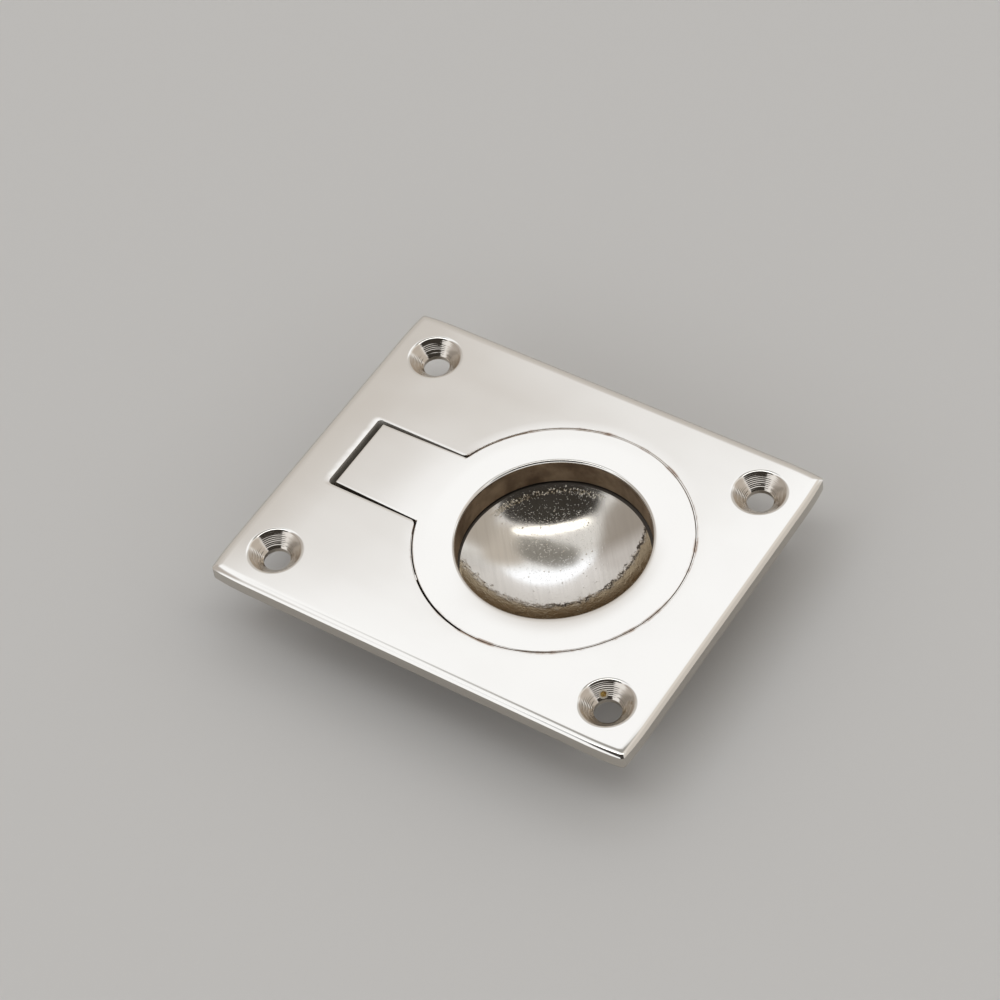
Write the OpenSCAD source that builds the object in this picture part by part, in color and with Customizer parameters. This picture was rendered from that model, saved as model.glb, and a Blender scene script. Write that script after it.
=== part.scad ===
// Flush ring pull: a ring with a tab lies in the keyhole pocket of a plate and turns up on a pin.
// The origin is the centre of the plate's back face. +Z leaves the front, +X points to the ring's end.

/* [Plate] */
// Length of the plate, along X
plate_l = 63.5; // [62:0.5:90]
// Width of the plate, along Y
plate_w = 51; // [49:0.5:80]
// Thickness of the plate
plate_t = 2.4; // [2.2:0.1:3]
// Width of the polished shoulder round the front face
shoulder_w = 1.6; // [0.8:0.1:2.4]
// How far that shoulder falls away at the plate's edge
shoulder_drop = 0.8; // [0.3:0.1:1.2]
// Radius of the plate's four upright corners
corner_r = 0.8; // [0.3:0.1:2]

/* [Screw holes] */
// Distance between hole centres along the plate
hole_spacing_x = 50.8; // [48:0.1:52]
// Distance between hole centres across the plate
hole_spacing_y = 38.1; // [36:0.1:42]
// Diameter of the hole for the screw's shank
screw_d = 3.6; // [3:0.1:4.2]
// Diameter of the countersink at the front face
countersink_d = 7.4; // [6:0.1:7.8]
// Full angle of the countersink
countersink_angle = 90; // [82:1:100]

/* [Ring and tab] */
// Distance from the plate's end to the end of the tab
tab_margin = 6.65; // [5.5:0.05:7.5]
// Outside diameter of the ring
ring_d = 36.8; // [34:0.1:38]
// Diameter of the hole that a finger goes through
ring_hole_d = 25.8; // [24:0.1:28]
// Thickness of the ring and tab
ring_t = 4.4; // [4:0.1:5.5]
// Round on the hole's upper edge
hole_top_round = 0.5; // [0.2:0.1:1]
// Round on the hole's lower edge
hole_low_round = 0.5; // [0.2:0.1:1]
// Angle at which the ring's outside narrows towards its underside, so that it clears the pocket as it lifts
ring_draft = 6.5; // [6:0.5:9]
// Distance from the ring's axis to the end of the tab
tab_reach = 30.74; // [28:0.1:31]
// Width of the tab at its free end
tab_end_w = 11.3; // [10:0.1:11.8]
// Width of the tab where it joins the ring
tab_root_w = 12.1; // [11.8:0.1:14]
// Round on the upper edge of the tab's free end
tab_end_round = 0.3; // [0.1:0.1:0.6]
// Thickness of the tab at its heel, round the pin
heel_t = 5; // [4.6:0.1:5.4]
// Round on the lower edge of the heel
heel_round = 1.4; // [1:0.1:1.8]
// Distance from the pin's axis to where the underside rises from the heel to the ring
heel_front = 1.2; // [0.8:0.1:1.6]

/* [Hinge] */
// Diameter of the hinge pin
pin_d = 1.5; // [1.2:0.1:2]
// Depth of the pin's axis below the front face
pin_drop = 2.9; // [2.7:0.05:3]
// Distance from the pin's axis to the end of the tab
heel_l = 3.7; // [3.2:0.05:4.2]
// Radial clearance of the tab's bore on the pin
pin_clearance = 0.06; // [0.02:0.01:0.1]
// Radial clearance of the pin's seats in the plate
seat_clearance = 0.01; // [0.005:0.005:0.02]
// How far each end of the pin stops short of the hinge box's side
pin_recess = 0.1; // [0.05:0.05:0.4]
// Radial clearance of the pin in the channel that it is driven in along, across the back of the plate
channel_clearance = 0.1; // [0.05:0.05:0.2]
// Opening angle at which the heel of the tab lands on the floor of the hinge box
stop_angle = 97; // [95:1:105]

/* [Pocket] */
// Gap between the ring and the pocket's wall, all round
ring_gap = 0.22; // [0.2:0.02:0.4]
// Gap between the tab and the slot's wall, each side at the tab's root
tab_gap = 0.15; // [0.1:0.05:0.4]
// Gap between the ring's underside and the pocket's floor
floor_gap = 0.1; // [0.05:0.05:0.3]
// Least gap that the turning heel keeps from the hinge box
swing_gap = 0.12; // [0.08:0.02:0.3]
// Radius of the slot's two corners at the tab's end
slot_corner_r = 0.7; // [0.3:0.1:0.9]
// Radius of the two corners where the slot meets the round pocket
neck_r = 0.6; // [0.3:0.1:1.2]

/* [Casting behind the plate] */
// Wall round the pocket
pocket_wall = 1.8; // [1.4:0.1:2.4]
// Side walls of the hinge box, which hold the pin
cheek_wall = 2; // [1.6:0.1:2.6]
// Floor under the pocket and the hinge box
floor_t = 1.6; // [1.2:0.1:2.4]
// Draft of the walls that stand out from the back
casting_draft = 4; // [1:0.5:8]
// Fillet where those walls meet the plate
root_fillet = 1; // [0.5:0.1:1.5]
// Width of the broken edges at the back of the casting
edge_break = 0.5; // [0.2:0.1:0.8]

/* [Finger bowl] */
// Diameter of the bowl at the pocket's floor
bowl_d = 25.8; // [24:0.1:28]
// Depth of the bowl below the pocket's floor
bowl_depth = 4.7; // [3.5:0.1:7]
// Wall of the bowl
bowl_wall = 1.7; // [1.2:0.1:2.4]
// Width of the broken edge round the bowl
bowl_edge = 0.3; // [0.1:0.1:0.6]

/* [Hidden] */
$fn = 128;

nickel = [0.84, 0.81, 0.77];
steel = [0.62, 0.62, 0.62];

// How far a cutting solid runs past the face that it opens
cut = 1;

// A circle's radius, from the width and rise of the cap that a chord takes off it
function cap_radius(half_chord, rise) = (half_chord * half_chord + rise * rise) / (2 * rise);

shoulder_r = cap_radius(shoulder_w, shoulder_drop);
ring_r = ring_d / 2;
ring_hole_r = ring_hole_d / 2;
ring_low_z = plate_t - ring_t;
heel_low_z = plate_t - heel_t;
tab_end_x = tab_margin - plate_l / 2;
ring_x = tab_end_x + tab_reach;
tab_inner_x = ring_x - (ring_r + ring_hole_r) / 2;

// The pin, and the circles that the heel's two edges sweep about it
pin_x = tab_end_x + heel_l;
pin_z = plate_t - pin_drop;
pin_r = pin_d / 2;
heel_drop = heel_t - pin_drop;
heel_top_sweep = tab_end_round + norm([heel_l - tab_end_round, pin_drop - tab_end_round]);
heel_low_sweep = heel_round + norm([heel_l - heel_round, heel_drop - heel_round]);
stop_reach = tab_end_round + (heel_l - tab_end_round) * sin(stop_angle)
    - (pin_drop - tab_end_round) * cos(stop_angle);

// The pocket and the hinge box take their walls from the ring, the tab and those sweeps
pocket_r = ring_r + ring_gap;
pocket_floor_z = ring_low_z - floor_gap;
slot_w = tab_root_w + 2 * tab_gap;
slot_end_x = pin_x - max(heel_top_sweep, heel_low_sweep) - swing_gap;
box_floor_z = pin_z - max(stop_reach, heel_low_sweep + swing_gap);
box_front_x = pin_x + heel_drop - heel_l * cos(stop_angle) + swing_gap;
neck_x = ring_x - sqrt(pow(pocket_r + neck_r, 2) - pow(slot_w / 2 + neck_r, 2));

// The outside of the casting, which starts inside the plate's thickness
root_z = plate_t / 2;
casting_slope = tan(casting_draft);
drum_r = pocket_r + pocket_wall;
box_end_x = slot_end_x - pocket_wall;
box_half_w = slot_w / 2 + cheek_wall;
back_z = pocket_floor_z - floor_t;
box_back_z = box_floor_z - floor_t;
pin_l = 2 * (box_half_w - pin_recess);

bowl_rim_r = bowl_d / 2;
bowl_r = cap_radius(bowl_rim_r, bowl_depth);
bowl_centre_z = pocket_floor_z - bowl_depth + bowl_r;

// The fillet's arc crosses both faces a little off tangent, through points root_fillet from the corner
fillet_arc_r = 1.1 * root_fillet;
fillet_arc_at = root_fillet / 2 + sqrt((fillet_arc_r * fillet_arc_r - root_fillet * root_fillet / 2) / 2);

countersink_depth = (countersink_d - screw_d) / 2 / tan(countersink_angle / 2);

// What a round takes off the lower left corner at the origin of a flat shape; turn moves it round
module corner_waste(r, turn = 0) {
    rotate(turn)
        difference() {
            translate([-cut, -cut]) square(r + cut);
            translate([r, r]) circle(r = r);
        }
}

// Stands a flat shape up so that its second axis runs along Z, and draws it out both ways along Y
module along_y(width) {
    rotate([90, 0, 0]) linear_extrude(height = width, center = true) children();
}

// The same, drawn out both ways along X, with the shape's first axis along Y
module along_x(length) {
    rotate([90, 0, 90]) linear_extrude(height = length, center = true) children();
}

// Section of the plate: square at the back, with an arc for a shoulder at each end of the front
module plate_section(span) {
    flat = span / 2 - shoulder_w;
    translate([-span / 2, 0]) square([span, plate_t - shoulder_drop]);
    translate([-flat, 0]) square([2 * flat, plate_t]);
    intersection() {
        translate([-span / 2, 0]) square([span, plate_t]);
        for (side = [-1, 1])
            translate([side * flat, plate_t - shoulder_r]) circle(r = shoulder_r);
    }
}

module plate_blank() {
    difference() {
        intersection() {
            along_y(plate_w) plate_section(plate_l);
            along_x(plate_l) plate_section(plate_w);
        }
        for (turn = [0, 180])
            rotate(turn) {
                translate([-plate_l / 2, -plate_w / 2, -cut])
                    linear_extrude(height = plate_t + 2 * cut) corner_waste(corner_r);
                translate([plate_l / 2, -plate_w / 2, -cut])
                    linear_extrude(height = plate_t + 2 * cut) corner_waste(corner_r, 90);
            }
    }
}

// Plan of the pocket: the round part, the tab's slot and the rounded corners where they meet
module keyhole() {
    translate([ring_x, 0]) circle(r = pocket_r);
    difference() {
        translate([slot_end_x, -slot_w / 2]) square([ring_x - slot_end_x, slot_w]);
        translate([slot_end_x, -slot_w / 2]) corner_waste(slot_corner_r);
        translate([slot_end_x, slot_w / 2]) corner_waste(slot_corner_r, -90);
    }
    for (side = [-1, 1])
        difference() {
            polygon([
                [neck_x, 0],
                [neck_x, side * (slot_w / 2 + neck_r)],
                [ring_x, 0]
            ]);
            translate([neck_x, side * (slot_w / 2 + neck_r)]) circle(r = neck_r);
        }
}

// Fills the corner between the plate's back, on the first axis, and a wall that hangs from the origin
module root_fillet_shape() {
    difference() {
        translate([-cut, -root_fillet]) square([cut + root_fillet, root_fillet + root_z]);
        translate([fillet_arc_at, -fillet_arc_at]) circle(r = fillet_arc_r);
    }
}

// Half section of the drum round the pocket, to the right of the ring's axis
module drum_section() {
    wall_low_r = drum_r + back_z * casting_slope;
    polygon([
        [0, root_z],
        [drum_r, root_z],
        [drum_r, 0],
        [wall_low_r + edge_break * casting_slope, back_z + edge_break],
        [wall_low_r - edge_break, back_z],
        [0, back_z]
    ]);
    translate([drum_r, 0]) root_fillet_shape();
}

// Side of the hinge box, seen along Y, as far as the drum's centre
module box_side() {
    end_low_x = box_end_x - box_back_z * casting_slope;
    front_low_x = box_front_x + floor_t;
    polygon([
        [box_end_x, root_z],
        [box_end_x, 0],
        [end_low_x - edge_break * casting_slope, box_back_z + edge_break],
        [end_low_x + edge_break, box_back_z],
        [front_low_x, box_back_z],
        [front_low_x + back_z - box_back_z, back_z],
        [ring_x, back_z],
        [ring_x, root_z]
    ]);
    translate([box_end_x, 0]) mirror([1, 0]) root_fillet_shape();
}

// End of the hinge box, seen along X
module box_end() {
    half_low_w = box_half_w + box_back_z * casting_slope;
    for (side = [0, 1])
        mirror([side, 0]) {
            polygon([
                [0, root_z],
                [box_half_w, root_z],
                [box_half_w, 0],
                [half_low_w + edge_break * casting_slope, box_back_z + edge_break],
                [half_low_w - edge_break, box_back_z],
                [0, box_back_z]
            ]);
            translate([box_half_w, 0]) root_fillet_shape();
        }
}

// What stands out behind the plate, before it is hollowed: drum, hinge box and the bowl's dome
module casting_back() {
    translate([ring_x, 0, 0]) rotate_extrude() drum_section();
    intersection() {
        along_y(2 * drum_r) box_side();
        along_x(2 * plate_l) box_end();
    }
    intersection() {
        translate([ring_x, 0, bowl_centre_z]) sphere(r = bowl_r + bowl_wall);
        translate([ring_x, 0, back_z - bowl_r]) cylinder(h = bowl_r + root_z, r = pocket_r);
    }
}

module screw_hole() {
    translate([0, 0, -cut]) cylinder(h = plate_t + 2 * cut, r = screw_d / 2);
    translate([0, 0, plate_t - countersink_depth])
        cylinder(
            h = countersink_depth + cut,
            r1 = screw_d / 2,
            r2 = countersink_d / 2 + cut * tan(countersink_angle / 2)
        );
}

module back_plate() {
    color(nickel)
        difference() {
            union() {
                plate_blank();
                casting_back();
            }
            translate([0, 0, pocket_floor_z])
                linear_extrude(height = ring_t + floor_gap + cut) keyhole();
            translate([0, 0, box_floor_z])
                linear_extrude(height = plate_t - box_floor_z)
                    intersection() {
                        keyhole();
                        translate([slot_end_x - cut, -slot_w / 2])
                            square([box_front_x - slot_end_x + cut, slot_w]);
                    }
            translate([ring_x, 0, bowl_centre_z]) sphere(r = bowl_r);
            translate([ring_x, 0, pocket_floor_z - bowl_edge])
                cylinder(h = bowl_edge, r1 = bowl_rim_r - bowl_edge, r2 = bowl_rim_r + bowl_edge);
            translate([pin_x, 0, pin_z])
                rotate([90, 0, 0])
                    cylinder(h = 2 * (box_half_w + root_fillet), r = pin_r + seat_clearance, center = true);
            translate([pin_x, box_half_w + root_fillet / 2, pin_z])
                rotate([-90, 0, 0]) cylinder(h = plate_w / 2, r = pin_r + channel_clearance);
            for (x = [-1, 1], y = [-1, 1])
                translate([x * hole_spacing_x / 2, y * hole_spacing_y / 2, 0]) screw_hole();
        }
}

// Section of the ring, to the right of its axis
module ring_section() {
    taper = ring_t * tan(ring_draft);
    difference() {
        polygon([
            [ring_hole_r, ring_low_z],
            [ring_r - taper, ring_low_z],
            [ring_r, plate_t],
            [ring_hole_r, plate_t]
        ]);
        translate([ring_hole_r, ring_low_z]) corner_waste(hole_low_round);
        translate([ring_hole_r, plate_t]) corner_waste(hole_top_round, -90);
    }
}

// Side of the tab, seen along Y: the heel hangs below the ring's underside round the pin
module tab_side() {
    heel_end_x = pin_x + heel_front;
    difference() {
        polygon([
            [tab_end_x, heel_low_z],
            [heel_end_x, heel_low_z],
            [heel_end_x + ring_low_z - heel_low_z, ring_low_z],
            [tab_inner_x, ring_low_z],
            [tab_inner_x, plate_t],
            [tab_end_x, plate_t]
        ]);
        translate([tab_end_x, heel_low_z]) corner_waste(heel_round);
        translate([tab_end_x, plate_t]) corner_waste(tab_end_round, -90);
    }
}

module ring_pull() {
    color(nickel)
        difference() {
            union() {
                translate([ring_x, 0, 0]) rotate_extrude() ring_section();
                intersection() {
                    along_y(tab_root_w + cut) tab_side();
                    translate([0, 0, heel_low_z - cut])
                        linear_extrude(height = heel_t + 2 * cut)
                            polygon([
                                [tab_end_x, -tab_end_w / 2],
                                [tab_inner_x, -tab_root_w / 2],
                                [tab_inner_x, tab_root_w / 2],
                                [tab_end_x, tab_end_w / 2]
                            ]);
                }
            }
            translate([pin_x, 0, pin_z])
                rotate([90, 0, 0])
                    cylinder(h = tab_root_w + 2 * cut, r = pin_r + pin_clearance, center = true);
        }
}

module hinge_pin() {
    color(steel)
        translate([pin_x, 0, pin_z])
            rotate([90, 0, 0]) cylinder(h = pin_l, r = pin_r, center = true);
}

back_plate();
ring_pull();
hinge_pin();
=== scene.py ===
# Flush ring pull in polished nickel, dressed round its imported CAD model.
# Metres throughout. The plate's back face is z = 0, its front looks up, and +X runs from tab to ring.

import bpy
import math
from mathutils import Matrix, Vector


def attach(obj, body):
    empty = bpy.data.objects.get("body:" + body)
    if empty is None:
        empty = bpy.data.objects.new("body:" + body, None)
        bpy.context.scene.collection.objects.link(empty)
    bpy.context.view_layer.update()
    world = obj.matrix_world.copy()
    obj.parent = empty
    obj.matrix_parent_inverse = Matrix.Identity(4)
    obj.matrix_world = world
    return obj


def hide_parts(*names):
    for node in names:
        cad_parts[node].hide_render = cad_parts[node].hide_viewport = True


mm = 0.001


def deselectAll():
    if bpy.context.mode != "OBJECT":
        bpy.ops.object.mode_set(mode="OBJECT")
    bpy.ops.object.select_all(action="DESELECT")


def makeActive(piece):
    deselectAll()
    piece.select_set(True)
    bpy.context.view_layer.objects.active = piece


def applyPlace(piece):
    makeActive(piece)
    bpy.ops.object.transform_apply(location=True, rotation=True, scale=True)


def applyModifier(piece, kind, **settings):
    makeActive(piece)
    modifier = piece.modifiers.new(kind.lower(), kind)
    for name, value in settings.items():
        setattr(modifier, name, value)
    bpy.ops.object.modifier_apply(modifier=modifier.name)


def cutWith(piece, cutter, operation="DIFFERENCE"):
    applyModifier(piece, "BOOLEAN", operation=operation, solver="EXACT", object=cutter)
    bpy.data.objects.remove(cutter, do_unlink=True)


def addCylinder(radius, depth, place, turns, rotation=(0, 0, 0)):
    bpy.ops.mesh.primitive_cylinder_add(
        vertices=turns, radius=radius, depth=depth, location=place, rotation=rotation)
    cylinder = bpy.context.active_object
    applyPlace(cylinder)
    return cylinder


def addBox(place, size, turn=0.0):
    bpy.ops.mesh.primitive_cube_add(size=1, location=place, rotation=(0, 0, turn))
    box = bpy.context.active_object
    box.scale = size
    applyPlace(box)
    return box


# selects the faces, edges or corners that a test picks by place, and leaves the piece in edit mode
def pick(piece, kind, test):
    makeActive(piece)
    bpy.ops.object.mode_set(mode="EDIT")
    bpy.ops.mesh.select_mode(type=kind)
    bpy.ops.mesh.select_all(action="DESELECT")
    bpy.ops.object.mode_set(mode="OBJECT")
    mesh = piece.data
    if kind == "FACE":
        for face in mesh.polygons:
            face.select = test(face.center, face.normal)
    elif kind == "EDGE":
        for edge in mesh.edges:
            first, second = (mesh.vertices[i].co for i in edge.vertices)
            edge.select = test(first, second)
    else:
        for corner in mesh.vertices:
            corner.select = test(corner.co)
    bpy.ops.object.mode_set(mode="EDIT")


def near(value, target, reach=0.01 * mm):
    return abs(value - target) < reach


# a test for edges, from a test that both of their corners have to pass
def both(test):
    return lambda first, second: test(first) and test(second)


print("stage 1: the packed model")
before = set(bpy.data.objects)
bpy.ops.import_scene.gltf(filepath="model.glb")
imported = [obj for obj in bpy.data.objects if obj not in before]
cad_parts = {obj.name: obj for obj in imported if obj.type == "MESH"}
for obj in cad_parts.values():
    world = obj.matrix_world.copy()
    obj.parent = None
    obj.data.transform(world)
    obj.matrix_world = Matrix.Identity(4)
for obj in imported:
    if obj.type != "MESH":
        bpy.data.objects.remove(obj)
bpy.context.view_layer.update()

layout = {
    "ringX": 5.64 * mm,
    "frontZ": 2.4 * mm,
    "pocketFloorZ": -2.1 * mm,
    "pinX": -21.4 * mm,
    "pinZ": -0.5 * mm,
    "holeX": 25.4 * mm,
    "holeY": 19.05 * mm,
}


def ringDistance(at):
    return math.hypot(at.x - layout["ringX"], at.y)


def holeDistance(at):
    return math.hypot(abs(at.x) - layout["holeX"], abs(at.y) - layout["holeY"])


print("stage 2: the plate")
plate = {
    "length": 63.5 * mm,
    "width": 51.0 * mm,
    "shoulderWidth": 1.4 * mm,
    "shoulderDrop": 0.45 * mm,
    "shoulderSteps": 14,
    "shoulderPower": 3.2,
    "cornerRound": 0.3 * mm,
    "cornerPull": 0.32 * mm,
    "pullReach": 6.0 * mm,
    "pullSteps": (5.4, 4.5, 3.6, 2.8, 2.1),    # mm from the corner
    "backEdge": 0.15 * mm,
}


def makePlateBlank():
    halfL = plate["length"] / 2
    halfW = plate["width"] / 2
    sideTop = layout["frontZ"] - plate["shoulderDrop"]
    blank = addBox((0, 0, sideTop / 2), (plate["length"], plate["width"], sideTop))
    blank.name = "plateCasting"
    # the wheel has drawn the outline in towards its corners: cuts near them let the edges curve
    pick(blank, "FACE", lambda at, normal: True)
    for step in plate["pullSteps"]:
        offX = halfL - step * mm
        offY = halfW - step * mm
        for x, y in ((offX, 0), (-offX, 0), (0, offY), (0, -offY)):
            bpy.ops.mesh.select_all(action="SELECT")
            bpy.ops.mesh.bisect(plane_co=(x, y, 0), plane_no=(1, 0, 0) if x else (0, 1, 0))
    for side in (1, -1):
        pick(blank, "FACE", lambda at, normal: normal.z * side > 0.9)
        bpy.ops.mesh.dissolve_faces()
    for step in (*plate["pullSteps"], 0):
        pull = plate["cornerPull"] * (1 - step * mm / plate["pullReach"]) ** 2
        pick(blank, "VERT", lambda corner: near(abs(corner.x), halfL - step * mm))
        bpy.ops.transform.resize(value=(1, 1 - pull / halfW, 1), center_override=(0, 0, 0))
        # the plate's own corners have just been drawn in, so they need a longer reach
        reach = 0.01 * mm if step else 0.4 * mm
        pick(blank, "VERT", lambda corner: near(abs(corner.y), halfW - step * mm, reach)
             and near(abs(corner.x), halfL))
        bpy.ops.transform.resize(value=(1 - pull / halfL, 1, 1), center_override=(0, 0, 0))
    # the shoulder is polished round, slowly at the flat and quicker at the edge
    pick(blank, "FACE", lambda at, normal: normal.z > 0.9)
    steps = plate["shoulderSteps"]
    power = plate["shoulderPower"]
    for step in range(steps):
        share = 1 - step / steps
        nextShare = 1 - (step + 1) / steps
        inward = plate["shoulderWidth"] * (share - nextShare)
        upward = plate["shoulderDrop"] * (share ** power - nextShare ** power)
        bpy.ops.mesh.inset(thickness=inward, depth=upward, use_even_offset=True)

    # softly mitred corners, from the upright edge up to the flat
    def onMitre(corner):
        return near(halfL - abs(corner.x), halfW - abs(corner.y), 0.02 * mm)

    def isMitre(first, second):
        atOneCorner = first.x * second.x > 0 and first.y * second.y > 0
        return onMitre(first) and onMitre(second) and (first - second).length < 3 * mm and atOneCorner

    pick(blank, "EDGE", isMitre)
    bpy.ops.mesh.bevel(offset=plate["cornerRound"], segments=4, affect="EDGES")
    pick(blank, "EDGE", both(lambda corner: near(corner.z, 0)))
    bpy.ops.mesh.bevel(offset=plate["backEdge"], segments=2, affect="EDGES")
    deselectAll()
    return blank


print("stage 3: the back of the casting")
casting = {
    "draft": math.radians(4),
    "rootZ": 1.2 * mm,
    "drumRadius": 20.42 * mm,
    "drumLowZ": -3.7 * mm,
    "domeRadius": 21.75 * mm,
    "domeTopZ": -1.0 * mm,
    "domeRings": 128,
    "bowlRadius": 20.05 * mm,
    "bowlCentreZ": 13.254 * mm,
    "bowlRings": 192,
    "boxEndX": -27.9 * mm,
    "boxStartX": -6 * mm,
    "boxHalfWidth": 8.2 * mm,
    "boxLowZ": -6.09 * mm,
    "boxFrontX": -17.13 * mm,
    "rootFillet": 1.0 * mm,
    "edgeBreak": 0.5 * mm,
    "turns": 192,
}


def makeDrum():
    depth = casting["rootZ"] - casting["drumLowZ"]
    middle = casting["rootZ"] - depth / 2
    lowRadius = casting["drumRadius"] + casting["drumLowZ"] * math.tan(casting["draft"])
    drum = addCylinder(casting["drumRadius"], depth, (layout["ringX"], 0, middle), casting["turns"])
    pick(drum, "FACE", lambda at, normal: normal.z < -0.9)
    ratio = lowRadius / casting["drumRadius"]
    bpy.ops.transform.resize(value=(ratio, ratio, 1), center_override=(layout["ringX"], 0, 0))
    bpy.ops.mesh.bevel(offset=casting["edgeBreak"], segments=4, affect="EDGES")
    deselectAll()
    return drum


def makeHingeBox():
    lowZ = casting["boxLowZ"]
    depth = casting["rootZ"] - lowZ
    endX = casting["boxEndX"]
    startX = casting["boxStartX"]
    box = addBox(((endX + startX) / 2, 0, casting["rootZ"] - depth / 2),
                 (startX - endX, 2 * casting["boxHalfWidth"], depth))
    lean = depth * math.tan(casting["draft"])
    # the walls lean in to their draft, and the floor runs up to the drum
    pick(box, "VERT", lambda corner: near(corner.z, lowZ))
    sideRatio = 1 - lean / casting["boxHalfWidth"]
    bpy.ops.transform.resize(value=(1, sideRatio, 1), center_override=(0, 0, 0))
    pick(box, "VERT", lambda corner: near(corner.z, lowZ) and near(corner.x, endX))
    bpy.ops.transform.translate(value=(lean, 0, 0))
    pick(box, "VERT", lambda corner: near(corner.z, lowZ) and corner.x > startX - 1 * mm)
    bpy.ops.transform.translate(value=(casting["boxFrontX"] - startX, 0, 0))

    def isOuter(first, second):
        atEnd = near(first.x, endX, 0.6 * mm) and near(second.x, endX, 0.6 * mm)
        return first.z < 0 and second.z < 0 or atEnd and abs(first.z - second.z) > 1 * mm

    pick(box, "EDGE", isOuter)
    bpy.ops.mesh.bevel(offset=casting["edgeBreak"], segments=4, affect="EDGES")
    deselectAll()
    return box


def makeBall(radius, rings):
    bpy.ops.mesh.primitive_uv_sphere_add(
        segments=casting["turns"],
        ring_count=rings,
        radius=radius,
        location=(layout["ringX"], 0, casting["bowlCentreZ"]),
    )
    ball = bpy.context.active_object
    applyPlace(ball)
    return ball


def makeDome():
    dome = makeBall(casting["domeRadius"], casting["domeRings"])
    pick(dome, "VERT", lambda corner: True)
    cutAt = (0, 0, casting["domeTopZ"])
    bpy.ops.mesh.bisect(plane_co=cutAt, plane_no=(0, 0, 1), clear_outer=True, use_fill=True)
    deselectAll()
    return dome


print("stage 4: the pocket, the bowl and the holes")
pocket = {
    "radius": 18.62 * mm,
    "halfSlot": 6.2 * mm,
    "slotEndX": -26.1 * mm,
    "boxFloorZ": -4.49 * mm,
    "boxFrontX": -18.73 * mm,
    "slotCorner": 0.7 * mm,
    "neckRound": 0.6 * mm,
    "neckX": (-20 * mm, -9 * mm),
    "stripY": (6.3 * mm, 6.9 * mm),
    "stripX": -11 * mm,
    "overshoot": 1 * mm,
    "wellTopZ": 0.5 * mm,
    "wellSpare": 0.004 * mm,
    "topRound": 0.08 * mm,
    "turns": 320,
    "bowlRim": 12.9 * mm,
    "bowlEdge": 0.35 * mm,
    "edgeSlope": math.radians(20),
    "coneBelow": 0.5 * mm,
    "coneAbove": 0.3 * mm,
    "rimShift": (0.22 * mm, -0.088 * mm),    # the real bowl sits a hair off the ring's middle
    "slotLean": 0.22 * mm,    # the slot's end leans in: the photo's dark line there is 0.64 to 0.88 mm wide
}

screwHole = {
    "shankRadius": 1.8 * mm,
    "sinkRadius": 3.6 * mm,
    "rimRound": 0.26 * mm,
    "marksEnd": 3.3 * mm,
    "toolMarks": 8,
    "markSteps": 4,
    "markDepth": 0.028 * mm,
    "turns": 96,
}


# the upright edges at a box's end
def isEndEdge(endX):
    return lambda first, second: near(first.x, endX) and near(second.x, endX) and near(first.y, second.y)


def makePocketCutter():
    top = layout["frontZ"] + pocket["overshoot"]
    floor = layout["pocketFloorZ"]
    middle = (top + floor) / 2
    endX = pocket["slotEndX"]
    cutter = addCylinder(pocket["radius"], top - floor, (layout["ringX"], 0, middle), pocket["turns"])
    slot = addBox((endX / 2, 0, middle), (-endX, 2 * pocket["halfSlot"], top - floor))

    def isUpright(first, second):
        return near(first.x, second.x) and near(first.y, second.y)

    pick(slot, "EDGE", isEndEdge(endX))
    bpy.ops.mesh.bevel(offset=pocket["slotCorner"], segments=8, affect="EDGES")
    roundedX = endX + pocket["slotCorner"] + 0.01 * mm
    pick(slot, "VERT", lambda corner: near(corner.z, top) and corner.x < roundedX)
    bpy.ops.transform.translate(value=(pocket["slotLean"], 0, 0))
    deselectAll()
    cutWith(cutter, slot, "UNION")
    for side in (1, -1):
        pick(cutter, "FACE", lambda at, normal: normal.z * side > 0.9)
        bpy.ops.mesh.dissolve_faces()
    # the narrow faces beside the neck become one, so that its round has room
    lowY, highY = pocket["stripY"]
    pick(cutter, "EDGE", lambda first, second: isUpright(first, second)
         and lowY < abs(first.y) < highY and first.x < pocket["stripX"])
    bpy.ops.mesh.dissolve_edges(use_verts=True)
    # the neck, where the slot meets the round pocket, is rounded off
    lowX, highX = pocket["neckX"]
    pick(cutter, "EDGE", lambda first, second: isUpright(first, second)
         and lowX < first.x < highX and near(abs(first.y), pocket["halfSlot"], 0.05 * mm))
    bpy.ops.mesh.bevel(offset=pocket["neckRound"], segments=8, affect="EDGES")
    deselectAll()
    return cutter


# the hinge box is sunk deeper than the pocket, so that the tab's heel can turn down
def makeWellCutter():
    spare = pocket["wellSpare"]
    endX = pocket["slotEndX"] - spare
    frontX = pocket["boxFrontX"]
    floor = pocket["boxFloorZ"]
    top = pocket["wellTopZ"]
    well = addBox(((endX + frontX) / 2, 0, (floor + top) / 2),
                  (frontX - endX, 2 * (pocket["halfSlot"] + spare), top - floor))
    pick(well, "EDGE", isEndEdge(endX))
    bpy.ops.mesh.bevel(offset=pocket["slotCorner"] + spare, segments=8, affect="EDGES")
    deselectAll()
    return well


crust = {
    "inRadius": 18.48 * mm,
    "outRadius": 18.7 * mm,
    "lowZ": 1.9 * mm,
    "highZ": 2.27 * mm,
    "openAngle": math.radians(-114),    # of the photo's gap, only the samples at -105 and -120 are this wide
    "openWidth": 10.3 * mm,
    "openDepth": 6 * mm,
    "cutDepth": 2 * mm,
    "neckLength": 18 * mm,
    "neckX": -8 * mm,
    "neckHalf": 8.2 * mm,
    "thinRadius": 18.56 * mm,    # beside the tab the rising ring passes closer, so the crust is thinner
    "thinX": -7 * mm,
}


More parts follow.
